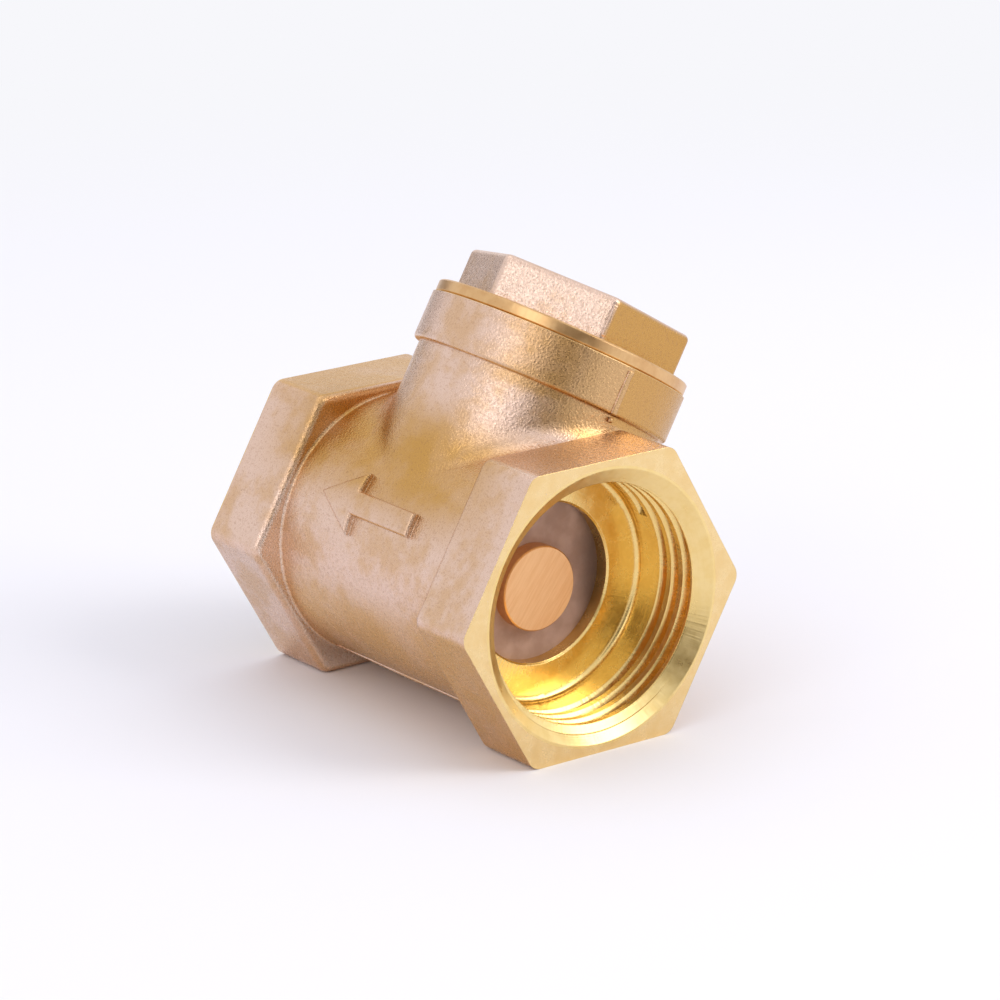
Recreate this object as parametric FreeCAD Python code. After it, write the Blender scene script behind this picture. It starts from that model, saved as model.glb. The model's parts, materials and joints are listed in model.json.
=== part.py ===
import FreeCAD, Part
import math
import os

# Brass swing check valve, one inch parallel pipe thread at both ends. All sizes are in millimetres.
#
# The valve is modelled upright: the flow axis is X with the inlet mouth at x = 0 and the flow
# towards -X, the neck stands along +Z and the hinge pin lies along Y. Depths are measured from
# the inlet mouth, heights and radii from the flow axis. At the end everything is leaned over
# together, because the valve lies on a flat of its two hexagons.

# ---- driving sizes ----

body_length = 55.0
barrel_radius = 17.6
chamber_radius = 14.3

end_hex_flats = 38.0
inlet_hex_length = 10.4
outlet_hex_length = 10.3
end_hex_corner_round = 2.0
end_hex_rim_round = 1.05
end_hex_cove = 0.35

pipe_thread_pitch = 25.4 / 11
pipe_thread_radius = 16.624
pipe_thread_depth_in_pitches = 0.640327
pipe_thread_flank_angle = 27.5
pipe_bore_radius = 15.6
pipe_groove_inset = 0.15
mouth_radius = 17.8
mouth_chamfer_depth = 1.6
inlet_thread_length = 9.45
inlet_port_depth = 12.4
outlet_thread_length = 9.45
outlet_port_depth = 13.2
port_corner_round = 0.9

seat_bore_radius = 10.55
seat_depth = 14.5
seat_ring_width = 1.0
seat_ring_height = 0.6
seat_edge_chamfer = 0.25

neck_depth = 27.8
neck_radius = 16.7
neck_root_fillet = 4.0
neck_bore_radius = 14.1
collar_radius = 17.6
collar_bottom = 22.8
collar_top = 29.3
collar_edge_round = 0.5

cap_thread_pitch = 1.5
cap_thread_radius = 15.0
cap_thread_depth_in_pitches = 0.5413
cap_thread_flank_angle = 30.0
cap_thread_clearance = 0.05
cap_thread_bottom = 19.6
cap_relief_length = 1.4
cap_thread_root_gap = 0.2
cap_relief_depth = 0.15
cap_rim_chamfer = 0.3

gasket_thickness = 1.05
gasket_width = 1.7
gasket_inset = 0.5
gasket_side_gap = 0.1
gasket_top_gap = 0.06
flange_gap = 0.05

flange_radius = 17.35
flange_thickness = 1.65
flange_chamfer = 0.2
cap_hex_flats = 27.0
cap_hex_height = 5.7
cap_hex_turn = 37.5
cap_hex_corner_round = 1.2
cap_hex_rim_round = 0.8
cap_wall = 2.0
cap_roof = 4.0
cap_hollow_round = 2.0

hinge_depth = 17.9
hinge_height = 15.0
pin_radius = 1.5
pin_length = 19.6
pin_end_chamfer = 0.3
pin_seat_clearance = 0.02
lug_inner_gap = 10.6
lug_reach = 2.5
lug_drop = 2.7

hub_radius = 2.75
hub_length = 10.0
hinge_running_clearance = 0.05
hub_top_gap = 0.3

disc_drop = 0.8
button_radius = 5.57
button_height = 2.1
button_edge_chamfer = 0.15
rubber_radius = 12.2
rubber_thickness = 2.2
rubber_edge_round = 0.3
plate_radius = 12.2
plate_thickness = 2.0
plate_edge_chamfer = 0.5
plate_boss_radius = 5.0
plate_boss_height = 0.6
shoulder_radius = 3.0
shoulder_fit = 0.02
swivel_running_clearance = 0.05
swivel_end_play = 0.2

arm_thickness = 2.5
arm_eye_radius = 5.2
arm_waist = 7.2
arm_edge_round = 0.4

stud_radius = 2.5
stud_tail = 0.7
stud_tip_chamfer = 0.4
washer_radius = 5.0
washer_thickness = 0.8
washer_hole_gap = 0.1
spring_washer_radius = 4.4
spring_washer_thickness = 1.2
spring_washer_split = 0.7
spring_washer_slant = 25
nut_flats = 8.0
nut_thickness = 2.7
nut_thread_gap = 0.02
nut_chamfer_angle = 30.0

arrow_depth = 28.3
arrow_length = 19.0
arrow_width = 8.4
arrow_head_length = 7.2
arrow_shaft_width = 3.2
arrow_relief = 0.95
arrow_edge_round = 0.5

# ---- how solids are joined ----

overlap = 1.0
cove_sag = 0.22
same_place = 0.01

# ---- sizes that follow ----

pipe_thread_pitch_radius = pipe_thread_radius - pipe_thread_depth_in_pitches * pipe_thread_pitch / 2
cap_bore_radius = cap_thread_radius - cap_thread_depth_in_pitches * cap_thread_pitch
cap_spigot_bottom = hinge_height + hub_radius + hub_top_gap
gasket_floor = collar_top + flange_gap - gasket_top_gap - gasket_thickness
gasket_inner_radius = cap_thread_radius - gasket_inset
gasket_outer_radius = gasket_inner_radius + gasket_width
gasket_recess_radius = gasket_outer_radius + gasket_side_gap
flange_bottom = collar_top + flange_gap
flange_top = flange_bottom + flange_thickness
cap_top = flange_top + cap_hex_height
cap_male_radius = cap_thread_radius - cap_thread_clearance
cap_core_radius = cap_bore_radius - cap_thread_root_gap
cap_relief_radius = cap_core_radius - cap_relief_depth
cap_hollow_radius = cap_relief_radius - cap_wall

rubber_back = seat_depth + rubber_thickness
plate_back = rubber_back + plate_thickness
boss_back = plate_back + plate_boss_height
arm_front = boss_back + swivel_end_play
arm_back = arm_front + arm_thickness
shoulder_depth = arm_back + swivel_end_play
washer_back = shoulder_depth + washer_thickness
spring_washer_back = washer_back + spring_washer_thickness
nut_back = spring_washer_back + nut_thickness
stud_end = nut_back + stud_tail
shoulder_hole_radius = shoulder_radius + shoulder_fit

# The neck stands over a corner of the hexagons, so on a flat it leans half a hexagon step.
lean_angle = 360 / 6 / 2

flow_back = FreeCAD.Vector(-1, 0, 0)
sideways = FreeCAD.Vector(0, 1, 0)
upward = FreeCAD.Vector(0, 0, 1)


# ---- helpers ----

def at(depth, y, z):
    return FreeCAD.Vector(-depth, y, z)


def flow_cylinder(radius, start_depth, end_depth, z=0):
    return Part.makeCylinder(radius, end_depth - start_depth, at(start_depth, 0, z), flow_back)


def neck_cylinder(radius, bottom, top):
    return Part.makeCylinder(radius, top - bottom, at(neck_depth, 0, bottom), upward)


def cross_cylinder(radius, length, depth, z):
    return Part.makeCylinder(radius, length, at(depth, -length / 2, z), sideways)


def box_between(depth_range, y_range, z_range):
    size = (depth_range[1] - depth_range[0], y_range[1] - y_range[0], z_range[1] - z_range[0])
    return Part.makeBox(*size, at(depth_range[1], y_range[0], z_range[0]))


def closed_face(points):
    return Part.Face(Part.makePolygon(points + points[:1]))


def rounded_corner(before, corner, after, radius):
    """The start, middle and end of the arc that rounds a corner."""
    back = (before - corner).normalize()
    ahead = (after - corner).normalize()
    half_angle = back.getAngle(ahead) / 2
    inward = (back + ahead).normalize()
    reach = radius / math.tan(half_angle)
    middle = corner + inward * (radius / math.sin(half_angle) - radius)
    return corner + back * reach, middle, corner + ahead * reach


def rounded_face(corners, radii):
    """A flat face through corners, each rounded by its radius where that isn't 0."""
    count = len(corners)
    edges = []
    stretches = []
    for number, (corner, radius) in enumerate(zip(corners, radii)):
        if radius:
            after = corners[(number + 1) % count]
            start, middle, end = rounded_corner(corners[number - 1], corner, after, radius)
            edges.append(Part.Arc(start, middle, end).toShape())
            stretches.append((start, end))
        else:
            stretches.append((corner, corner))
    for number in range(count):
        start, end = stretches[number - 1][1], stretches[number][0]
        edges.append(Part.LineSegment(start, end).toShape())
    return Part.Face(Part.Wire(Part.__sortEdges__(edges)))


def turn_about_flow(outline, z=0):
    """Turn (depth, radius) or (depth, radius, rounding) corners about a line along the flow at height z."""
    corners = [at(corner[0], 0, z + corner[1]) for corner in outline]
    face = rounded_face(corners, [sum(corner[2:]) for corner in outline])
    return face.revolve(at(0, 0, z), FreeCAD.Vector(1, 0, 0), 360)


def turn_about_neck(outline):
    """Turn (radius, height) or (radius, height, rounding) corners about the neck's axis."""
    corners = [at(neck_depth - corner[0], 0, corner[1]) for corner in outline]
    face = rounded_face(corners, [sum(corner[2:]) for corner in outline])
    return face.revolve(at(neck_depth, 0, 0), upward, 360)


def hexagon_face(flats, first_corner_angle):
    corner = flats / math.sqrt(3)
    angles = [math.radians(first_corner_angle + 60 * step) for step in range(6)]
    return closed_face([FreeCAD.Vector(corner * math.cos(a), corner * math.sin(a), 0) for a in angles])


def edges_where(shape, test):
    return [edge for edge in shape.Edges if test(edge)]


def is_upright(edge):
    box = edge.BoundBox
    return box.XLength < same_place and box.YLength < same_place


def hexagon_block(flats, height, corner_round, first_corner_angle=0):
    """A hexagon bar standing along +Z on the origin, with rounded corners."""
    bar = hexagon_face(flats, first_corner_angle).extrude(upward * height)
    return bar.makeFillet(corner_round, edges_where(bar, is_upright))


def round_rim(block, height, radius):
    """Round the outline of a block's flat end at the given height."""
    rim = edges_where(block, lambda edge: edge.BoundBox.ZMin > height - same_place)
    return block.makeFillet(radius, rim)


def along_flow(shape, depth):
    """Lay a shape that stands along +Z from the origin down along the flow, from this depth."""
    turned = shape.copy()
    turned.rotate(FreeCAD.Vector(0, 0, 0), sideways, -90)
    turned.translate(at(depth, 0, 0))
    return turned


def helix_turns(pitch, height, radius):
    """A right-handed helix about +Z, joined from equal lengths of a turn or less."""
    count = math.ceil(height / pitch)
    rise = height / count
    turns = []
    for number in range(count):
        turn = Part.makeHelix(pitch, rise, radius)
        turn.rotate(FreeCAD.Vector(0, 0, 0), upward, 360 * rise * number / pitch)
        turn.translate(upward * rise * number)
        turns += turn.Edges
    return Part.Wire(turns)


def thread_groove(pitch, height, inner, outer):
    """A right-handed helical groove about +Z. inner and outer are (radius, width) of its section."""
    section = [
        FreeCAD.Vector(inner[0], 0, -inner[1] / 2),
        FreeCAD.Vector(outer[0], 0, -outer[1] / 2),
        FreeCAD.Vector(outer[0], 0, outer[1] / 2),
        FreeCAD.Vector(inner[0], 0, inner[1] / 2),
    ]
    profile = Part.makePolygon(section + section[:1])
    groove = helix_turns(pitch, height, outer[0]).makePipeShell([profile], True, True)
    if groove.Volume < 0:
        groove.reverse()
    return groove


# ---- body ----

def end_hexagon(length):
    block = hexagon_block(end_hex_flats, length, end_hex_corner_round)
    return round_rim(block, length, end_hex_rim_round)


def hexagon_cove(back_depth, away):
    """The hollow rounding between a hexagon's back and the barrel; away is 1 or -1 along the depth."""
    on_back = at(back_depth, 0, barrel_radius + end_hex_cove)
    on_barrel = at(back_depth + away * end_hex_cove, 0, barrel_radius)
    sag = cove_sag * end_hex_cove
    middle = (on_back + on_barrel) * 0.5 + at(-away * sag, 0, -sag)
    corners = [
        on_barrel,
        at(back_depth + away * end_hex_cove, 0, barrel_radius - overlap),
        at(back_depth - away * overlap, 0, barrel_radius - overlap),
        at(back_depth - away * overlap, 0, barrel_radius + end_hex_cove),
        on_back,
    ]
    sides = [Part.LineSegment(*pair).toShape() for pair in zip(corners, corners[1:])]
    outline = Part.Wire([Part.Arc(on_back, middle, on_barrel).toShape()] + sides)
    return Part.Face(outline).revolve(at(0, 0, 0), FreeCAD.Vector(1, 0, 0), 360)


def hexagons():
    """The two end hexagons and their hollow roundings."""
    outlet_hexagon = end_hexagon(outlet_hex_length)
    outlet_hexagon.rotate(FreeCAD.Vector(0, 0, 0), sideways, 180)
    return [
        along_flow(end_hexagon(inlet_hex_length), 0),
        along_flow(outlet_hexagon, body_length),
        hexagon_cove(inlet_hex_length, 1),
        hexagon_cove(body_length - outlet_hex_length, -1),
    ]


def neck_and_barrel():
    """The barrel with the neck standing on it, joined by the casting's rounding."""
    barrel = flow_cylinder(barrel_radius, overlap, body_length - overlap)
    neck = neck_cylinder(neck_radius, 0, collar_bottom + overlap)
    joined = barrel.fuse(neck).removeSplitter()

    def on_both(edge):
        middle = edge.valueAt(edge.getParameterByLength(edge.Length / 3))
        from_flow = math.hypot(middle.y, middle.z)
        from_neck = math.hypot(middle.x + neck_depth, middle.y)
        return abs(from_flow - barrel_radius) < same_place and abs(from_neck - neck_radius) < same_place

    return joined.makeFillet(neck_root_fillet, edges_where(joined, on_both))


def collar():
    ring = neck_cylinder(collar_radius, collar_bottom, collar_top)
    lower = edges_where(ring, lambda edge: edge.BoundBox.ZMax < collar_bottom + same_place)
    return ring.makeFillet(collar_edge_round, lower)


def flow_arrow():
    """A raised arrow on the barrel's side that shows the way the water goes."""
    half = arrow_length / 2
    neck = half - arrow_head_length
    outline = [
        (half, 0),
        (neck, arrow_width / 2),
        (neck, arrow_shaft_width / 2),
        (-half, arrow_shaft_width / 2),
        (-half, -arrow_shaft_width / 2),
        (neck, -arrow_shaft_width / 2),
        (neck, -arrow_width / 2),
    ]
    side = [at(arrow_depth + along, 0, across) for along, across in outline]
    top_radius = barrel_radius + arrow_relief
    prism = closed_face(side).extrude(-sideways * (top_radius + overlap))
    raised = prism.common(flow_cylinder(top_radius, overlap, body_length - overlap))
    core = flow_cylinder(chamber_radius + overlap, overlap, body_length - overlap)

    def on_top(edge):
        middle = edge.valueAt(edge.getParameterByLength(edge.Length / 2))
        return abs(math.hypot(middle.y, middle.z) - top_radius) < same_place

    return raised.makeFillet(arrow_edge_round, edges_where(raised, on_top)).cut(core)


def flow_passage():
    """Everything that is turned out along the flow axis, from mouth to mouth."""
    chamfer_slope = (mouth_radius - pipe_bore_radius) / mouth_chamfer_depth
    wide_radius = mouth_radius + overlap * chamfer_slope
    chamber_start = seat_depth - seat_ring_height
    ring_radius = seat_bore_radius + seat_ring_width
    outlet_floor = body_length - outlet_port_depth
    return turn_about_flow([
        (-overlap, 0),
        (-overlap, wide_radius),
        (mouth_chamfer_depth, pipe_bore_radius),
        (inlet_port_depth, pipe_bore_radius, port_corner_round),
        (inlet_port_depth, seat_bore_radius + seat_edge_chamfer),
        (inlet_port_depth + seat_edge_chamfer, seat_bore_radius),
        (seat_depth, seat_bore_radius),
        (seat_depth, ring_radius),
        (chamber_start, ring_radius + seat_ring_height / 2),
        (chamber_start, chamber_radius, port_corner_round),
        (outlet_floor, chamber_radius),
        (outlet_floor, pipe_bore_radius, port_corner_round),
        (body_length - mouth_chamfer_depth, pipe_bore_radius),
        (body_length + overlap, wide_radius),
        (body_length + overlap, 0),
    ])


def neck_passage():
    """Everything that is turned out from above, through the neck."""
    return turn_about_neck([
        (0, 0),
        (neck_bore_radius, 0),
        (neck_bore_radius, cap_thread_bottom),
        (cap_bore_radius, cap_thread_bottom),
        (cap_bore_radius, gasket_floor),
        (gasket_recess_radius, gasket_floor),
        (gasket_recess_radius, collar_top + overlap),
        (0, collar_top + overlap),
    ])


def pipe_groove_width(radius):
    """Width of the pipe thread's groove at a radius: half the pitch at the pitch radius."""
    spread = 2 * math.tan(math.radians(pipe_thread_flank_angle))
    return pipe_thread_pitch / 2 - spread * (radius - pipe_thread_pitch_radius)


def pipe_groove(length):
    """The groove of a pipe thread, standing on the origin with its open start below the mouth."""
    inner = pipe_bore_radius - pipe_groove_inset
    turns = thread_groove(
        pipe_thread_pitch,
        length + pipe_thread_pitch,
        (inner, pipe_groove_width(inner)),
        (pipe_thread_radius, pipe_groove_width(pipe_thread_radius)),
    )
    turns.translate(-upward * pipe_thread_pitch)
    return turns


def cap_tooth_width(radius):
    """Width of the cap's thread tooth at a radius: an eighth of the pitch at its crest."""
    spread = 2 * math.tan(math.radians(cap_thread_flank_angle))
    return cap_thread_pitch / 8 + spread * (cap_male_radius - radius)


def neck_groove():
    inner = cap_bore_radius - cap_thread_clearance
    sides = 2 * cap_thread_clearance / math.cos(math.radians(cap_thread_flank_angle))
    length = gasket_floor - cap_thread_bottom + 2 * cap_thread_pitch
    turns = thread_groove(
        cap_thread_pitch,
        length,
        (inner, cap_tooth_width(inner) + sides),
        (cap_thread_radius, cap_tooth_width(cap_thread_radius) + sides),
    )
    turns.translate(at(neck_depth, 0, cap_thread_bottom - cap_thread_pitch / 2))
    return turns


def pin_lugs():
    """The two lugs inside the neck that carry the hinge pin in grooves open to the top."""
    top = hinge_height + hub_radius
    wall = neck_cylinder(neck_bore_radius + overlap / 2, 0, top)
    blocks = box_between(
        (seat_depth - seat_ring_height - overlap / 2, hinge_depth + lug_reach),
        (-neck_bore_radius, neck_bore_radius),
        (hinge_height - lug_drop, top),
    )
    gap = box_between((0, body_length), (-lug_inner_gap / 2, lug_inner_gap / 2), (0, collar_top))
    return blocks.common(wall).cut(gap)


def pin_grooves():
    radius = pin_radius + pin_seat_clearance
    length = pin_length + 2 * pin_seat_clearance
    slot = box_between(
        (hinge_depth - radius, hinge_depth + radius),
        (-length / 2, length / 2),
        (hinge_height, hinge_height + hub_radius + overlap / 2),
    )
    return cross_cylinder(radius, length, hinge_depth, hinge_height).fuse(slot)


def valve_body():
    outside = neck_and_barrel().multiFuse(hexagons() + [collar(), flow_arrow()])
    hollow = outside.cut(flow_passage()).cut(neck_passage())
    lugged = hollow.fuse(pin_lugs()).cut(pin_grooves())
    inlet_groove = along_flow(pipe_groove(inlet_thread_length), 0)
    outlet_groove = pipe_groove(outlet_thread_length)
    outlet_groove.rotate(FreeCAD.Vector(0, 0, 0), sideways, 180)
    outlet_groove = along_flow(outlet_groove, body_length)
    return lugged.cut(inlet_groove).cut(outlet_groove).cut(neck_groove())


# ---- cap and gasket ----

def cap_turned_part():
    """The spigot and flange, turned to size."""
    thread_end = flange_bottom - cap_relief_length
    lead = cap_male_radius - cap_relief_radius
    return turn_about_neck([
        (0, cap_spigot_bottom),
        (cap_relief_radius - cap_rim_chamfer, cap_spigot_bottom),
        (cap_relief_radius, cap_spigot_bottom + cap_rim_chamfer),
        (cap_relief_radius, cap_thread_bottom),
        (cap_male_radius, cap_thread_bottom + lead),
        (cap_male_radius, thread_end),
        (cap_relief_radius, thread_end + lead / 2),
        (cap_relief_radius, flange_bottom),
        (flange_radius - flange_chamfer, flange_bottom),
        (flange_radius, flange_bottom + flange_chamfer),
        (flange_radius, flange_top - flange_chamfer),
        (flange_radius - flange_chamfer, flange_top),
        (0, flange_top),
    ])


def cap_groove():
    outer = cap_male_radius + cap_thread_clearance
    root_gap = cap_thread_pitch - cap_tooth_width(cap_core_radius)
    outer_gap = cap_thread_pitch - cap_tooth_width(outer)
    length = flange_bottom - cap_thread_bottom + cap_thread_pitch
    turns = thread_groove(cap_thread_pitch, length, (cap_core_radius, root_gap), (outer, outer_gap))
    turns.translate(at(neck_depth, 0, cap_thread_bottom - cap_thread_pitch))
    return turns


def cap_hexagon():
    height = cap_hex_height + overlap / 2
    block = hexagon_block(cap_hex_flats, height, cap_hex_corner_round, cap_hex_turn)
    block = round_rim(block, height, cap_hex_rim_round)
    block.translate(at(neck_depth, 0, cap_top - height))
    return block


def cap_hollow():
    roof = cap_top - cap_roof
    return turn_about_neck([
        (0, cap_spigot_bottom - overlap),
        (cap_hollow_radius, cap_spigot_bottom - overlap),
        (cap_hollow_radius, roof, cap_hollow_round),
        (0, roof),
    ])


def bonnet_cap():
    return cap_turned_part().fuse(cap_hexagon()).cut(cap_hollow()).cut(cap_groove())


def cap_gasket():
    top = gasket_floor + gasket_thickness
    ring = neck_cylinder(gasket_outer_radius, gasket_floor, top)
    return ring.cut(neck_cylinder(gasket_inner_radius, gasket_floor, top))


# ---- hinge ----

def hinge_pin():
    pin = cross_cylinder(pin_radius, pin_length, hinge_depth, hinge_height)
    ends = edges_where(pin, lambda edge: edge.BoundBox.YLength < same_place)
    return pin.makeChamfer(pin_end_chamfer, ends)


def hinge_arm():
    hub = cross_cylinder(hub_radius, hub_length, hinge_depth, hinge_height)
    half = hub_length / 2
    waist = arm_waist / 2
    middle = (hinge_height - disc_drop) / 2
    side = [(half, hinge_height), (half, hinge_height - hub_radius), (waist, middle), (waist, -disc_drop)]
    outline = side + [(-y, z) for y, z in reversed(side)]
    web = closed_face([at(arm_front, y, z) for y, z in outline]).extrude(flow_back * arm_thickness)
    eye = flow_cylinder(arm_eye_radius, arm_front, arm_back, -disc_drop)
    blade = web.fuse(eye).removeSplitter()
    back_edges = edges_where(blade, lambda edge: edge.BoundBox.XMax < -arm_back + same_place)
    blade = blade.makeFillet(arm_edge_round, back_edges)
    bridge = box_between(
        (hinge_depth, arm_front + overlap / 2),
        (-half, half),
        (hinge_height - hub_radius, hinge_height),
    )
    solid = hub.multiFuse([blade, bridge])
    pin_hole = cross_cylinder(pin_radius + hinge_running_clearance, pin_length, hinge_depth, hinge_height)
    stud_hole = flow_cylinder(
        shoulder_radius + swivel_running_clearance, arm_front - overlap, arm_back + overlap, -disc_drop
    )
    return solid.cut(pin_hole).cut(stud_hole)


# ---- disc ----

def retaining_button():
    """The stud with its round head: head, shoulder that the arm swivels on, and threaded tail."""
    face = seat_depth - button_height
    edge = button_edge_chamfer
    tip = stud_tip_chamfer
    return turn_about_flow([
        (face, 0),
        (face, button_radius - edge),
        (face + edge, button_radius),
        (seat_depth, button_radius),
        (seat_depth, shoulder_radius),
        (shoulder_depth, shoulder_radius),
        (shoulder_depth, stud_radius),
        (stud_end - tip, stud_radius),
        (stud_end, stud_radius - tip),
        (stud_end, 0),
    ], -disc_drop)


def rubber_washer():
    ring = flow_cylinder(rubber_radius, seat_depth, rubber_back, -disc_drop)
    rims = edges_where(ring, lambda edge: edge.BoundBox.XLength < same_place)
    hole = flow_cylinder(shoulder_hole_radius, seat_depth - overlap, rubber_back + overlap, -disc_drop)
    return ring.makeFillet(rubber_edge_round, rims).cut(hole)


def disc_plate():
    edge = plate_edge_chamfer
    return turn_about_flow([
        (rubber_back, shoulder_hole_radius),
        (rubber_back, plate_radius),
        (plate_back - edge, plate_radius),
        (plate_back, plate_radius - edge),
        (plate_back, plate_boss_radius + plate_boss_height / 2),
        (boss_back, plate_boss_radius),
        (boss_back, shoulder_hole_radius),
    ], -disc_drop)


def flat_washer():
    ring = flow_cylinder(washer_radius, shoulder_depth, washer_back, -disc_drop)
    return ring.cut(flow_cylinder(stud_radius + washer_hole_gap, shoulder_depth, washer_back, -disc_drop))


def spring_washer():
    hole = flow_cylinder(stud_radius + washer_hole_gap, washer_back, spring_washer_back, -disc_drop)
    ring = flow_cylinder(spring_washer_radius, washer_back, spring_washer_back, -disc_drop).cut(hole)
    split = box_between(
        (washer_back - overlap, spring_washer_back + overlap),
        (-spring_washer_split / 2, spring_washer_split / 2),
        (0, spring_washer_radius + overlap),
    )
    split.rotate(at(washer_back + spring_washer_thickness / 2, 0, 0), upward, spring_washer_slant)
    split.translate(FreeCAD.Vector(0, 0, -disc_drop))
    return ring.cut(split)


def disc_nut():
    block = hexagon_face(nut_flats, 0).extrude(upward * nut_thickness)
    corner = nut_flats / math.sqrt(3)
    rise = (corner - nut_flats / 2) * math.tan(math.radians(nut_chamfer_angle))
    dome = Part.makeCone(corner, nut_flats / 2, rise, upward * (nut_thickness - rise))
    dome = dome.fuse(Part.makeCylinder(corner, nut_thickness - rise)).removeSplitter()
    nut = along_flow(block.common(dome), spring_washer_back)
    nut.translate(FreeCAD.Vector(0, 0, -disc_drop))
    return nut.cut(flow_cylinder(stud_radius + nut_thread_gap, washer_back, stud_end, -disc_drop))


# ---- the valve as it lies ----

pieces = {
    "valve_body": valve_body,
    "bonnet_cap": bonnet_cap,
    "cap_gasket": cap_gasket,
    "hinge_pin": hinge_pin,
    "hinge_arm": hinge_arm,
    "retaining_button": retaining_button,
    "rubber_washer": rubber_washer,
    "disc_plate": disc_plate,
    "flat_washer": flat_washer,
    "spring_washer": spring_washer,
    "disc_nut": disc_nut,
}

os.makedirs("parts", exist_ok=True)
for name, make in pieces.items():
    shape = make()
    shape.rotate(FreeCAD.Vector(0, 0, 0), FreeCAD.Vector(1, 0, 0), -lean_angle)
    print(name, "valid" if shape.isValid() else "INVALID", len(shape.Solids), round(shape.Volume, 2))
    shape.exportStep("parts/" + name + ".step")
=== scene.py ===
import json
import math
import bpy
from mathutils import Matrix, Vector


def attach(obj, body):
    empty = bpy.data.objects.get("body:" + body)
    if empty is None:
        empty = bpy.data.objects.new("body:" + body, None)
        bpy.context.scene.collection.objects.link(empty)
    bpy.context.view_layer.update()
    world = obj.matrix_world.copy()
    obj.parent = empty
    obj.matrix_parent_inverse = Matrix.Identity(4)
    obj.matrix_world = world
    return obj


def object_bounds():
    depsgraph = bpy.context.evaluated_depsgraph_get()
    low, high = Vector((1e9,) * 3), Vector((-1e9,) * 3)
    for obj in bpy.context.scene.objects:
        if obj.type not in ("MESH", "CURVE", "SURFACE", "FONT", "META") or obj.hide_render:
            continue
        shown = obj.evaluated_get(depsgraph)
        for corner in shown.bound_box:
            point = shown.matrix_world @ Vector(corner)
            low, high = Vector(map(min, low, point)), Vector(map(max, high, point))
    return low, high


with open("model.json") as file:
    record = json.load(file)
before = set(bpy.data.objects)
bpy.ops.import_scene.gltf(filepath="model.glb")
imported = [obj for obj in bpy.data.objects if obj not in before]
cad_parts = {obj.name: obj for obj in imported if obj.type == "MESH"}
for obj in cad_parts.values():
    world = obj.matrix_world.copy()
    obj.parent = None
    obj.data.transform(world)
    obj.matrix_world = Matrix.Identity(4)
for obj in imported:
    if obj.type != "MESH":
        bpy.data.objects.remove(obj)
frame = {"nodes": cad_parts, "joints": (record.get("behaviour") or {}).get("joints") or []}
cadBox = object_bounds()
print("frame loaded:", len(frame["nodes"]), "nodes")

mm = 0.001
scene = bpy.context.scene
joints = {joint["name"]: joint for joint in frame["joints"]}
valveLength = cadBox[1][0] - cadBox[0][0]
flowAxis = Vector((1, 0, 0))
mouth = Vector((0, 0, 0))  # the middle of the inlet's mouth, on the flow axis
neckAxis = Vector(joints["cap_turn"]["axis"])  # leans, because the valve lies on a flat of its hexagons
sideAxis = neckAxis.cross(flowAxis)  # to the right, for someone who looks into the inlet
neckFoot = Vector((joints["cap_turn"]["pos_m"][0], 0, 0))  # where the neck's axis meets the flow axis


def linearColour(hexText):  # sRGB hex to the linear colour that Blender keeps
    channels = [int(hexText[i:i + 2], 16) / 255 for i in (0, 2, 4)]
    return [c / 12.92 if c <= 0.04045 else ((c + 0.055) / 1.055) ** 2.4 for c in channels] + [1]


def addNode(tree, kind, inputs=(), out=0, **settings):
    # inputs hold numbers, colours or other nodes' outputs, in the sockets' order or by socket
    node = tree.nodes.new("ShaderNode" + kind)
    for name, value in settings.items():
        setattr(node, name, value)
    for socket, value in inputs.items() if isinstance(inputs, dict) else enumerate(inputs):
        if isinstance(value, bpy.types.NodeSocket):
            tree.links.new(value, node.inputs[socket])
        else:
            node.inputs[socket].default_value = value
    return node.outputs[out] if node.outputs else node


def newMaterial(name):
    material = bpy.data.materials.new(name)
    material.use_nodes = True
    material.node_tree.nodes.clear()
    return material, material.node_tree


smooth = dict(interpolation_type="SMOOTHSTEP")  # for Map Range nodes
mixed = dict(data_type="RGBA")  # for Mix nodes: share in socket 0, the two colours in 6 and 7, result in 2
noiseSpan = (0.30, 0.70)  # nearly all that a noise gives lies in it


def twoTone(tree, pattern, ramp, colours):  # from the first colour to the second, as the pattern grows
    share = addNode(tree, "MapRange", (pattern, *ramp), **smooth)
    first, second = (linearColour(hexText) for hexText in colours)
    return addNode(tree, "Mix", {0: share, 6: first, 7: second}, 2, **mixed)


def raiseGrain(tree, colour, grain, look):  # a surface whose grain shows as fine relief and uneven gloss
    normal = addNode(tree, "Bump", {"Height": grain, "Distance": look["grainDepth"] * mm})
    roughness = addNode(tree, "MapRange", (grain, *noiseSpan, *look["roughness"]), **smooth)
    inputs = {"Base Color": colour, "Metallic": look["metal"], "Roughness": roughness, "Normal": normal}
    addNode(tree, "OutputMaterial", {"Surface": addNode(tree, "BsdfPrincipled", inputs)})


def aroundAxis(tree, place, start, axis):  # how far a place is from an axis, and how far along it
    away = addNode(tree, "VectorMath", (place, start), operation="SUBTRACT")
    along = addNode(tree, "VectorMath", (away, axis), "Value", operation="DOT_PRODUCT")
    square = addNode(tree, "VectorMath", (away, away), "Value", operation="DOT_PRODUCT")
    alongSquare = addNode(tree, "Math", (along, along), operation="MULTIPLY")
    across = addNode(tree, "Math", (square, alongSquare), operation="SUBTRACT")
    across = addNode(tree, "Math", (across, 0.0), operation="MAXIMUM")
    return addNode(tree, "Math", (across,), operation="SQRT"), along


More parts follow.
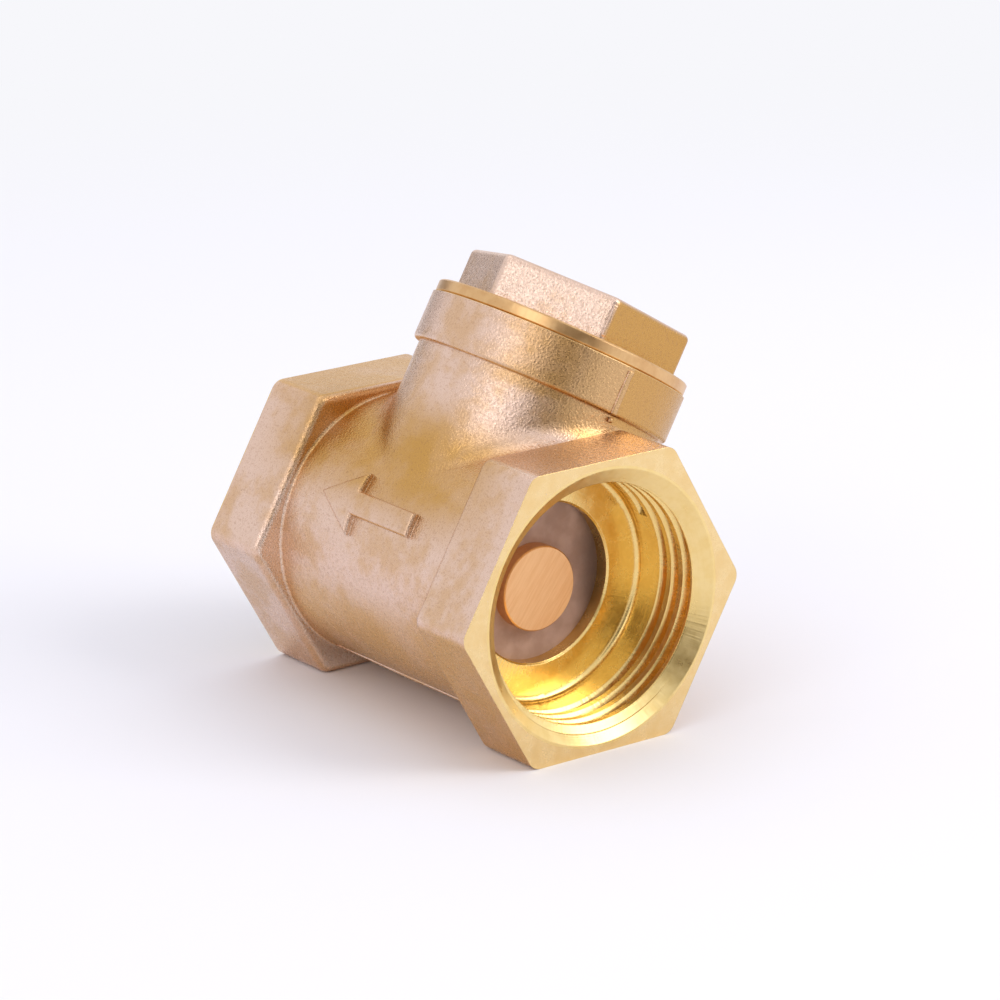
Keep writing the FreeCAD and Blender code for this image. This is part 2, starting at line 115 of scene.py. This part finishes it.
# Casting seams: where the two halves of a mould met they left a thin raised line, which nobody dressed off
# the collar, the barrel and one corner of the cap, and a small bead of metal below the collar's front one.
seamLook = dict(proud=0.24, sunk=0.30, edgeRound=0.20, waviness=0.20, waveSize=1.1,  # mm
                roundSteps=3, cuts=5)
seams = {  # mm: how far out and how far along its middle lies; degrees about the axis that it stands off
    "collar_seam_front": dict(body="body", lies="neck", width=0.85, length=6.0,
                              out=17.6, along=25.9, turn=-6.8),
    "collar_seam_back": dict(body="body", lies="neck", width=0.85, length=6.0,
                             out=17.6, along=25.9, turn=173.2),
    "cap_corner_seam": dict(body="cap", lies="neck", width=0.70, length=4.4,
                            out=15.28, along=33.6, turn=-22.5),
    "barrel_seam": dict(body="body", lies="flow", width=0.85, length=34.6,
                        out=17.6, along=-27.75, turn=180.0),
    "seam_bead": dict(body="body", lies="neck", width=0.60, length=0.7,
                      out=17.05, along=22.2, turn=-5.5),
}


# Sand-cast brass, shot blasted: a satin, pinkish tan skin of fine dimples that glitter where a lamp meets the
# dark, with painted shade in ochre round the neck's root and on faces towards the inlet, painted shade in
# gold on the underside, and painted light in pale on some faces.
castLook = dict(
    pink="E6C7B4", tan="DAB491", ochreShade="C99A56", goldShade="DDAE69", paleToneAndLight="F1DDCC", pit="A47B58", pitShare=0.30,
    blotchSize=8.0, toneSize=1.6, grainSize=0.30, swellSize=2.0,  # mm
    grainDepth=0.080, swellDepth=0.05, edgeRound=0.25,  # mm
    roughness=(0.35, 0.20),  # in the dimples and on their rims
    pinkRamp=(0.37, 0.57), pitRamp=(0.48, 0.30), grainRamp=(0.35, 0.70), toneWeight=0.3,
)


def castBrass(tree, place, ochreShade, goldShade, paleToneAndLight):  # the last three are where those tones lie
    look = castLook
    blotch = addNode(tree, "TexNoise", {"Vector": place, "Scale": 1 / (look["blotchSize"] * mm),
                                        "Detail": 3.0})
    tone = addNode(tree, "TexNoise", {"Vector": place, "Scale": 1 / (look["toneSize"] * mm), "Detail": 4.0})
    grain = addNode(tree, "TexNoise", {"Vector": place, "Scale": 1 / (look["grainSize"] * mm), "Detail": 2.0,
                                       "Roughness": 0.6})
    swell = addNode(tree, "TexNoise", {"Vector": place, "Scale": 1 / (look["swellSize"] * mm), "Detail": 2.0})
    tone = addNode(tree, "Math", (tone, look["toneWeight"]), operation="MULTIPLY")
    both = addNode(tree, "Math", (blotch, 1 - look["toneWeight"], tone), operation="MULTIPLY_ADD")
    pinkness = addNode(tree, "MapRange", (both, *look["pinkRamp"]), **smooth)
    pits = addNode(tree, "MapRange", (grain, *look["pitRamp"], 0.0, look["pitShare"]), **smooth)
    skin = linearColour(look["tan"])
    for share, hue in ((pinkness, "pink"), (paleToneAndLight, "paleToneAndLight"), (goldShade, "goldShade"), (ochreShade, "ochreShade"), (pits, "pit")):
        skin = addNode(tree, "Mix", {0: share, 6: skin, 7: linearColour(look[hue])}, 2, **mixed)
    normal = addNode(tree, "Bevel", {"Radius": look["edgeRound"] * mm}, samples=4)
    normal = addNode(tree, "Bump", {"Height": swell, "Distance": look["swellDepth"] * mm, "Normal": normal})
    normal = addNode(tree, "Bump", {"Height": grain, "Distance": look["grainDepth"] * mm, "Normal": normal})
    roughness = addNode(tree, "MapRange", (grain, *look["grainRamp"], *look["roughness"]), **smooth)
    inputs = {"Base Color": skin, "Metallic": 1.0, "Roughness": roughness, "Normal": normal}
    return addNode(tree, "BsdfPrincipled", inputs)


# Brass turned on a lathe and left bare: bright pale yellow, with rings from the tool, drawn coarser than
# real ones so that they show, and a chatter across them that breaks each highlight into short dashes.
turnedLook = dict(
    smearSize=2.5, patchSize=5.0, ringPitch=0.45, ringDepth=0.012, chatterDepth=0.024, edgeRound=0.10,  # mm
    chatterPerTurn=240, roughness=(0.20, 0.30), shadeRamp=(0.35, 0.65),
    patchRamp=(0.42, 0.62, 0.15, 1.0),  # chatter comes in patches, and never quite stops
)


def turnedBrass(tree, place, start, axis, side, colours, roughness=turnedLook["roughness"]):
    look = turnedLook
    across, along = aroundAxis(tree, place, start, axis)
    away = addNode(tree, "VectorMath", (place, start), operation="SUBTRACT")
    sideWay = addNode(tree, "VectorMath", (away, side), "Value", operation="DOT_PRODUCT")
    crossWay = addNode(tree, "VectorMath", (away, axis.cross(side)), "Value", operation="DOT_PRODUCT")
    turn = addNode(tree, "Math", (sideWay, crossWay), operation="ARCTAN2")
    smear = addNode(tree, "TexNoise", {"Vector": place, "Scale": 1 / (look["smearSize"] * mm), "Detail": 5.0,
                                       "Roughness": 0.65})
    patch = addNode(tree, "TexNoise", {"Vector": place, "Scale": 1 / (look["patchSize"] * mm), "Detail": 2.0})
    reach = addNode(tree, "Math", (across, along), operation="ADD")  # grows on faces and along walls alike
    rings = addNode(tree, "TexNoise", {"W": reach, "Scale": 1 / (look["ringPitch"] * mm), "Detail": 2.0},
                    noise_dimensions="1D")
    perRadian = look["chatterPerTurn"] / math.tau
    chatter = addNode(tree, "TexNoise", {"W": turn, "Scale": perRadian, "Detail": 1.0}, noise_dimensions="1D")
    patchy = addNode(tree, "MapRange", (patch, *look["patchRamp"]), **smooth)
    chatter = addNode(tree, "Math", (chatter, patchy), operation="MULTIPLY")
    colour = twoTone(tree, smear, look["shadeRamp"], colours)
    normal = addNode(tree, "Bevel", {"Radius": look["edgeRound"] * mm}, samples=4)
    for height, depth in ((rings, look["ringDepth"]), (chatter, look["chatterDepth"])):
        normal = addNode(tree, "Bump", {"Height": height, "Distance": depth * mm, "Normal": normal})
    roughness = addNode(tree, "MapRange", (smear, *noiseSpan, *roughness), **smooth)
    inputs = {"Base Color": colour, "Metallic": 1.0, "Roughness": roughness, "Normal": normal}
    return addNode(tree, "BsdfPrincipled", inputs)


def where(tree, *tests):  # 1 where each measure is over or under its limit in millimetres, 0 elsewhere
    mask = 1.0
    for measure, side, limit in tests:
        operation = "GREATER_THAN" if side == "over" else "LESS_THAN"
        test = addNode(tree, "Math", (measure, limit * mm), operation=operation)
        mask = addNode(tree, "Math", (mask, test), operation="MULTIPLY")
    return mask


def fade(tree, share, *ramps):  # up to this share of a tone, where each measure is past the end of its ramp
    mask = share
    for measure, start, end in ramps:
        ramp = addNode(tree, "MapRange", (measure, start, end), **smooth)
        mask = addNode(tree, "Math", (mask, ramp), operation="MULTIPLY")
    return mask


bodyLook = dict(  # mm: where the body was turned after casting
    faceSkin=0.10, portReach=10.0, portRadius=18.2, boreRadius=17.0,
    chamferDepth=1.75, chamferInside=15.75, chamferOutside=18.15,
    neckBore=15.3, neckBoreFoot=12.0, neckRecess=17.2, neckRecessFoot=27.9,
    neckFace=29.25, rag=0.35, ragSize=0.8,
    faceColours=("EDCC8E", "F2D59C"), boreColours=("EDCB80", "F7D991"),
    chamferColours=("EFD08A", "F4D897"), chamferRoughness=(0.27, 0.35),
)
# Painted shade and painted light on the cast skin, by where a face lies and which way it looks
paintedShadingLook = dict(  # how much of a tone lies where, and how squarely a face there looks one way
    shadeSide=Vector((0.9, 0.4, -0.2)), neckFacing=(0.25, 0.65), neckShare=0.80,
    collarFacing=(-0.20, 0.45), collarShare=0.75, seamFacing=(0.0, 0.3), seamShare=0.95,
    underFacing=(0.05, -0.50), underShare=0.95, topFacing=(0.85, 0.97), farTopShare=0.85,
    nearTopShare=0.60, endFacing=(0.80, 0.97), endShare=0.90,
    patchSize=5.5, patchRamp=(0.30, 0.62, 0.70, 1.0),
    reach=dict(  # mm: where a tone sets in
        rootAcross=(34.0, 21.0), rootFoot=(-3.0, 5.0), rootTop=(18.0, 10.0),  # across the neck and along it
        neckUp=(8.0, 12.0), collarUp=(20.5, 22.0), pastSeam=(-0.1, 0.5),
        under=(-46.0, -43.5), farTop=(-38.0, -42.0), nearTop=(-13.0, -10.5),  # along the flow axis
    ),
)


def turnedPlaces(tree, place, across, along, neckAcross, neckAlong):
    look = bodyLook
    # both end faces, both ports with all that lies behind them, and the neck's bore, recess and face
    rag = addNode(tree, "TexNoise", {"Vector": place, "Scale": 1 / (look["ragSize"] * mm)})
    rag = addNode(tree, "Math", (rag, look["rag"] * mm, -look["rag"] / 2 * mm), operation="MULTIPLY_ADD")
    fromMiddle = addNode(tree, "Math", (along, valveLength / 2), operation="ADD")
    fromMiddle = addNode(tree, "Math", (fromMiddle,), operation="ABSOLUTE")
    fromMiddle = addNode(tree, "Math", (fromMiddle, rag), operation="ADD")
    end = valveLength / 2 / mm
    inBore = where(tree, (across, "under", look["boreRadius"]))
    atChamfer = where(tree, (fromMiddle, "over", end - look["chamferDepth"]),
                      (across, "over", look["chamferInside"]), (across, "under", look["chamferOutside"]))
    turned = inBore
    for mask in (
        where(tree, (fromMiddle, "over", end - look["faceSkin"])),
        where(tree, (fromMiddle, "over", end - look["portReach"]), (across, "under", look["portRadius"])),
        where(tree, (neckAcross, "under", look["neckBore"]), (neckAlong, "over", look["neckBoreFoot"])),
        where(tree, (neckAcross, "under", look["neckRecess"]), (neckAlong, "over", look["neckRecessFoot"])),
        where(tree, (neckAlong, "over", look["neckFace"])),
    ):
        turned = addNode(tree, "Math", (turned, mask), operation="MAXIMUM")
    return turned, inBore, atChamfer


def paintedShading(tree, place, along, neckAcross, neckAlong):
    look = paintedShadingLook
    normal = addNode(tree, "TexCoord", out="Normal")
    facing = addNode(tree, "SeparateXYZ", (normal,), "Z")
    endways = addNode(tree, "Math", (addNode(tree, "SeparateXYZ", (normal,), "X"),), operation="ABSOLUTE")
    side = addNode(tree, "VectorMath", (normal, look["shadeSide"]), "Value", operation="DOT_PRODUCT")
    seamTurn = math.radians(seams["collar_seam_front"]["turn"])
    beyond = sideAxis * math.cos(seamTurn) - flowAxis * math.sin(seamTurn)
    away = addNode(tree, "VectorMath", (place, neckFoot), operation="SUBTRACT")
    pastSeam = addNode(tree, "VectorMath", (away, beyond), "Value", operation="DOT_PRODUCT")
    reach = {name: [limit * mm for limit in limits] for name, limits in look["reach"].items()}

    # painted shade in ochre: around the neck's root, on the neck's side that looks to the inlet, and past the
    # collar's seam
    patchScale = 1 / (look["patchSize"] * mm)
    patches = addNode(tree, "TexNoise", {"Vector": place, "Scale": patchScale, "Detail": 4.0})
    patches = addNode(tree, "MapRange", (patches, *look["patchRamp"]), **smooth)
    root = fade(tree, 1.0, (neckAcross, *reach["rootAcross"]), (neckAlong, *reach["rootFoot"]),
                (neckAlong, *reach["rootTop"]))
    ochreShade = addNode(tree, "Math", (root, patches), operation="MULTIPLY")
    for mask in (
        fade(tree, look["collarShare"], (side, *look["collarFacing"]), (neckAlong, *reach["collarUp"])),
        fade(tree, look["neckShare"], (side, *look["neckFacing"]), (neckAlong, *reach["neckUp"])),
        fade(tree, look["seamShare"], (pastSeam, *reach["pastSeam"]), (side, *look["seamFacing"]),
             (neckAlong, *reach["collarUp"])),
    ):
        ochreShade = addNode(tree, "Math", (ochreShade, mask), operation="MAXIMUM")

    # painted shade in gold on the underside up to the outlet hexagon and on that hexagon's top, and painted
    # light in pale on the inlet hexagon's top and where a face looks along the valve
    under = fade(tree, look["underShare"], (facing, *look["underFacing"]), (along, *reach["under"]))
    top = fade(tree, look["farTopShare"], (facing, *look["topFacing"]), (along, *reach["farTop"]))
    goldShade = addNode(tree, "Math", (under, top), operation="MAXIMUM")
    goldShade = addNode(tree, "Math", (goldShade, patches), operation="MULTIPLY")
    paintedLightNearTop = fade(tree, look["nearTopShare"], (facing, *look["topFacing"]), (along, *reach["nearTop"]))
    ends = fade(tree, look["endShare"], (endways, *look["endFacing"]))
    return ochreShade, goldShade, addNode(tree, "Math", (paintedLightNearTop, ends), operation="MAXIMUM")


def bodyBrass():
    look = bodyLook
    material, tree = newMaterial("sand-cast brass body")
    place = addNode(tree, "TexCoord", out="Object")
    across, along = aroundAxis(tree, place, mouth, flowAxis)
    neckAcross, neckAlong = aroundAxis(tree, place, neckFoot, neckAxis)
    turned, inBore, atChamfer = turnedPlaces(tree, place, across, along, neckAcross, neckAlong)
    cast = castBrass(tree, place, *paintedShading(tree, place, along, neckAcross, neckAlong))
    face = turnedBrass(tree, place, mouth, flowAxis, neckAxis, look["faceColours"])
    bore = turnedBrass(tree, place, mouth, flowAxis, neckAxis, look["boreColours"])
    chamfer = turnedBrass(tree, place, mouth, flowAxis, neckAxis, look["chamferColours"],
                          look["chamferRoughness"])
    cut = addNode(tree, "MixShader", (inBore, face, bore))
    cut = addNode(tree, "MixShader", (atChamfer, cut, chamfer))
    addNode(tree, "OutputMaterial", {"Surface": addNode(tree, "MixShader", (turned, cast, cut))})
    return material


capLook = dict(flangeFoot=29.32, flangeTop=31.02,  # mm along the neck's axis
               flangeColours=("D6A974", "E2B984"), flangeRoughness=(0.27, 0.34),
               ochreShadeFacing=(0.45, 0.95), paleShare=0.1)


def capBrass():  # the hexagon is left as cast, all below it is turned, and the flange was cut less finely
    look = capLook
    material, tree = newMaterial("sand-cast brass cap")
    place = addNode(tree, "TexCoord", out="Object")
    normal = addNode(tree, "TexCoord", out="Normal")
    along = aroundAxis(tree, place, neckFoot, neckAxis)[1]
    turned = where(tree, (along, "under", look["flangeTop"]))
    onFlange = where(tree, (along, "over", look["flangeFoot"]))
    # painted shade: ochre on the cap's faces that look the same way as the body's shaded side
    side = addNode(tree, "VectorMath", (normal, paintedShadingLook["shadeSide"]), "Value", operation="DOT_PRODUCT")
    ochreShade = fade(tree, 1.0, (side, *look["ochreShadeFacing"]))
    cast = castBrass(tree, place, ochreShade, 0.0, look["paleShare"])
    thread = turnedBrass(tree, place, neckFoot, neckAxis, flowAxis, bodyLook["boreColours"])
    flange = turnedBrass(tree, place, neckFoot, neckAxis, flowAxis, look["flangeColours"],
                         look["flangeRoughness"])
    cut = addNode(tree, "MixShader", (onFlange, thread, flange))
    addNode(tree, "OutputMaterial", {"Surface": addNode(tree, "MixShader", (turned, cast, cut))})
    return material


def plainTurnedBrass():  # turned about the stud, on which the disc hangs a little below the flow axis
    material, tree = newMaterial("machined brass")
    place = addNode(tree, "TexCoord", out="Object")
    stud = Vector((0, *joints["disc_swivel"]["pos_m"][1:]))
    shader = turnedBrass(tree, place, stud, flowAxis, neckAxis, bodyLook["faceColours"])
    addNode(tree, "OutputMaterial", {"Surface": shader})
    return material


# Moulded nitrile rubber, dusty from storage: matte grey-brown with a faint cloudiness, and a painted shadow
# that darkens one side, where the port's wall shades the disc.
rubberLook = dict(colours=("B08C77", "C6A28D"), paintedShadow="6B5244", shadeRamp=(0.32, 0.68),
                  paintedShadowFrom=6.0, paintedShadowTo=10.0, cloudSize=3.0, grainSize=0.3, grainDepth=0.008,  # mm
                  roughness=(0.50, 0.68), metal=0.0)


def nitrileRubber():
    look = rubberLook
    material, tree = newMaterial("moulded nitrile rubber")
    place = addNode(tree, "TexCoord", out="Object")
    cloud = addNode(tree, "TexNoise", {"Vector": place, "Scale": 1 / (look["cloudSize"] * mm), "Detail": 4.0})
    grain = addNode(tree, "TexNoise", {"Vector": place, "Scale": 1 / (look["grainSize"] * mm)})
    colour = twoTone(tree, cloud, look["shadeRamp"], look["colours"])
    # a painted shadow: darker towards one side of the disc
    side = addNode(tree, "SeparateXYZ", (place,), "Y")
    paintedShadowShare = addNode(tree, "MapRange", (side, look["paintedShadowFrom"] * mm, look["paintedShadowTo"] * mm), **smooth)
    colour = addNode(tree, "Mix", {0: paintedShadowShare, 6: colour, 7: linearColour(look["paintedShadow"])}, 2, **mixed)
    raiseGrain(tree, colour, grain, look)
    return material


# Bronze whose face was dressed on a belt: copper orange, satin, with straight hairlines all one way, drawn
# as coarse as they need to show.
buttonLook = dict(colours=("E8B079", "F2C18C"), shadeRamp=(0.35, 0.65), roughness=(0.34, 0.48), metal=1.0,
                  hairWidth=0.36, grainDepth=0.008, hairStretch=16, hairTurn=38)  # mm, times and degrees


def beltGroundBronze():
    look = buttonLook
    material, tree = newMaterial("belt-ground bronze")
    place = addNode(tree, "TexCoord", out="Object")
    place = addNode(tree, "Mapping", {"Vector": place, "Rotation": (math.radians(look["hairTurn"]), 0, 0)})
    place = addNode(tree, "Mapping", {"Vector": place, "Scale": (1, 1, 1 / look["hairStretch"])})
    hairs = addNode(tree, "TexNoise", {"Vector": place, "Scale": 1 / (look["hairWidth"] * mm), "Detail": 5.0,
                                       "Roughness": 0.75})
    raiseGrain(tree, twoTone(tree, hairs, look["shadeRamp"], look["colours"]), hairs, look)
    return material


# Stainless steel, drawn and ground: cool grey with a fine grain. PTFE, skived from a billet: waxy off-white.
plainLooks = {
    "ground stainless steel": dict(colours=("B4B5B8", "CFD0D3"), shadeRamp=(0.35, 0.65), metal=1.0,
                                   roughness=(0.22, 0.36), grainSize=0.35, grainDepth=0.003),  # mm
    "skived PTFE": dict(colours=("D9D7D0", "E9E7E1"), shadeRamp=(0.35, 0.65), metal=0.0,
                        roughness=(0.42, 0.55), grainSize=1.1, grainDepth=0.004),  # mm
}


def fineGrained(name):
    look = plainLooks[name]
    material, tree = newMaterial(name)
    place = addNode(tree, "TexCoord", out="Object")
    grain = addNode(tree, "TexNoise", {"Vector": place, "Scale": 1 / (look["grainSize"] * mm), "Detail": 4.0})
    raiseGrain(tree, twoTone(tree, grain, look["shadeRamp"], look["colours"]), grain, look)
    return material


turnedParts = plainTurnedBrass()
steel = fineGrained("ground stainless steel")
finishes = {
    "valve_body": bodyBrass(), "bonnet_cap": capBrass(), "cap_gasket": fineGrained("skived PTFE"),
    "hinge_pin": steel, "flat_washer": steel, "spring_washer": steel,
    "hinge_arm": turnedParts, "disc_plate": turnedParts, "disc_nut": turnedParts,
    "retaining_button": beltGroundBronze(), "rubber_washer": nitrileRubber(),
}
for nodeName, finish in finishes.items():
    mesh = frame["nodes"][nodeName].data
    mesh.materials.clear()
    mesh.materials.append(finish)
print("finishes given to", len(finishes), "CAD nodes")


castings = {"body": "valve_body", "cap": "bonnet_cap"}  # the casting of each body that has seams


def makeSeam(name, seam):
    look = seamLook
    bpy.ops.object.select_all(action="DESELECT")
    bpy.ops.mesh.primitive_cube_add(size=1)
    piece = bpy.context.object
    piece.name = name
    piece.scale = Vector((look["proud"] + look["sunk"], seam["width"], seam["length"])) * mm
    bpy.ops.object.transform_apply(location=False, rotation=False, scale=True)
    bpy.ops.object.mode_set(mode="EDIT")
    bpy.ops.mesh.select_all(action="SELECT")
    bpy.ops.mesh.bevel(offset=look["edgeRound"] * mm, segments=look["roundSteps"], affect="EDGES")
    bpy.ops.mesh.select_all(action="SELECT")
    bpy.ops.mesh.subdivide(number_cuts=look["cuts"])
    bpy.ops.object.mode_set(mode="OBJECT")
    waves = bpy.data.textures.new(name + " waves", "CLOUDS")
    waves.noise_scale = look["waveSize"] * mm
    bpy.ops.object.modifier_add(type="DISPLACE")
    piece.modifiers[-1].texture = waves
    piece.modifiers[-1].strength = look["waviness"] * mm
    bpy.ops.object.modifier_apply(modifier=piece.modifiers[-1].name)
    bpy.ops.object.shade_smooth()

    # stood on its surface: local X points out of the metal, local Z runs along the seam
    turn = math.radians(seam["turn"])
    if seam["lies"] == "neck":
        out = flowAxis * math.cos(turn) + sideAxis * math.sin(turn)
        run, start = neckAxis, neckFoot
    else:
        out = neckAxis * math.cos(turn) - sideAxis * math.sin(turn)
        run, start = flowAxis, mouth
    place = start + (out * (seam["out"] + (look["proud"] - look["sunk"]) / 2) + run * seam["along"]) * mm
    stand = Matrix((out, run.cross(out), run)).transposed().to_4x4()
    piece.matrix_world = Matrix.Translation(place) @ stand
    bpy.ops.object.transform_apply(location=True, rotation=True, scale=True)
    piece.data.materials.append(finishes[castings[seam["body"]]])
    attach(piece, seam["body"])


for name, seam in seams.items():
    makeSeam(name, seam)
print("seams made:", len(seams))


def seenDirectly(tree):  # 1 for what the camera sees, and for what metal mirrors and glass lets through
    path = addNode(tree, "LightPath").node.outputs
    seen = addNode(tree, "Math", (path["Is Camera Ray"], path["Is Glossy Ray"]), operation="MAXIMUM")
    return addNode(tree, "Math", (seen, path["Is Transmission Ray"]), operation="MAXIMUM")


# Floor: pale paper. Near the valve it takes light and shadow, and further off it is simply white.
floorLook = dict(size=4.0, plainFrom=0.16, whiteFrom=0.42,  # metres
                 paper="F5F3F3", white="F7F7FB", roughness=0.85, specular=0.2)


def makeFloor():
    look = floorLook
    bpy.ops.object.select_all(action="DESELECT")
    bpy.ops.mesh.primitive_plane_add(size=look["size"], location=(0, 0, cadBox[0][2]))
    floor = bpy.context.object
    floor.name = "floor"
    material, tree = newMaterial("pale paper")
    paper = addNode(tree, "BsdfPrincipled", {"Base Color": linearColour(look["paper"]),
                                             "Roughness": look["roughness"],
                                             "Specular IOR Level": look["specular"]})
    white = addNode(tree, "Emission", (linearColour(look["white"]), 1.0))
    place = addNode(tree, "TexCoord", out="Object")
    away = addNode(tree, "VectorMath", (place,), "Value", operation="LENGTH")
    far = addNode(tree, "MapRange", (away, look["plainFrom"], look["whiteFrom"]), **smooth)
    far = addNode(tree, "Math", (far, seenDirectly(tree)), operation="MULTIPLY")
    addNode(tree, "OutputMaterial", {"Surface": addNode(tree, "MixShader", (far, paper, white))})
    floor.data.materials.append(material)


lampTarget = Vector((-20, 3, 5)) * mm
lamps = {  # azimuth 0 looks at the valve's left side and 90 into the inlet; degrees, metres, watts
    "soft box on the left": dict(azimuth=22, elevation=32, distance=0.95, size=(0.46, 0.34), power=0.66),
    "tall soft box on the right": dict(azimuth=128, elevation=34, distance=1.0, size=(0.45, 0.75), power=3.7),
    "overhead bank": dict(azimuth=-60, elevation=74, distance=1.0, size=(0.6, 0.6), power=0.8),
}
feltRoughness = 0.9
cards = {  # felt, which the brass mirrors as its deep tones beside the soft boxes
    "dark_card": dict(azimuth=65, elevation=18, distance=0.95, width=0.70, height=0.46, colour="6A6050"),
    "grey_card": dict(azimuth=-98, elevation=3, distance=0.95, width=0.36, height=0.24, colour="8A8078"),
}
roomLook = dict(white="F7F7FB", fill="F2F3FF", light=0.95)  # white is seen and mirrored, fill lights the rest


def fromAngles(azimuth, elevation):
    azimuth, elevation = math.radians(azimuth), math.radians(elevation)
    return Vector((math.sin(azimuth) * math.cos(elevation), -math.cos(azimuth) * math.cos(elevation),
                   math.sin(elevation)))


def makeLamp(name, lamp):
    light = bpy.data.lights.new(name, "AREA")
    light.shape = "RECTANGLE"
    light.size, light.size_y = lamp["size"]
    light.energy = lamp["power"]
    holder = bpy.data.objects.new(name, light)
    scene.collection.objects.link(holder)
    away = fromAngles(lamp["azimuth"], lamp["elevation"])
    holder.location = lampTarget + away * lamp["distance"]
    holder.rotation_euler = away.to_track_quat("Z", "Y").to_euler()


def makeCard(name, look):
    away = fromAngles(look["azimuth"], look["elevation"])
    bpy.ops.object.select_all(action="DESELECT")
    bpy.ops.mesh.primitive_plane_add(size=1, location=lampTarget + away * look["distance"],
                                     rotation=away.to_track_quat("Z", "Y").to_euler())
    card = bpy.context.object
    card.name = name
    card.scale = (look["width"], look["height"], 1)
    card.visible_camera = False
    material, tree = newMaterial("felt card")
    felt = addNode(tree, "BsdfPrincipled", {"Base Color": linearColour(look["colour"]),
                                            "Roughness": feltRoughness})
    addNode(tree, "OutputMaterial", {"Surface": felt})
    card.data.materials.append(material)


def makeRoom():
    world = bpy.data.worlds.new("white studio")
    world.use_nodes = True
    tree = world.node_tree
    tree.nodes.clear()
    white, fill = linearColour(roomLook["white"]), linearColour(roomLook["fill"])
    shader = addNode(tree, "MixShader", (seenDirectly(tree),
                                         addNode(tree, "Background", (fill, roomLook["light"])),
                                         addNode(tree, "Background", (white, 1.0))))
    addNode(tree, "OutputWorld", {"Surface": shader})
    scene.world = world


cameraLook = dict(azimuth=52.63, elevation=17.34, roll=-0.115,  # degrees
                  distance=549.75, aim=(-10.96, -7.75, 12.82), lens=159.57, sensor=36.0)  # mm


def makeCamera():
    look = cameraLook
    back = fromAngles(look["azimuth"], look["elevation"])
    right = Vector((0, 0, 1)).cross(back).normalized()
    level = Matrix((right, back.cross(right), back)).transposed()
    turn = Matrix.Rotation(math.radians(look["roll"]), 3, back) @ level
    camera = bpy.data.objects.new("camera", bpy.data.cameras.new("camera"))
    scene.collection.objects.link(camera)
    place = (Vector(look["aim"]) + back * look["distance"]) * mm
    camera.matrix_world = Matrix.Translation(place) @ turn.to_4x4()
    camera.data.lens = look["lens"]
    camera.data.sensor_width = look["sensor"]
    scene.camera = camera


makeFloor()
for name, lamp in lamps.items():
    makeLamp(name, lamp)
for name, look in cards.items():
    makeCard(name, look)
makeRoom()
makeCamera()
scene.view_settings.view_transform = "Standard"
print("stage, lamps and camera ready")
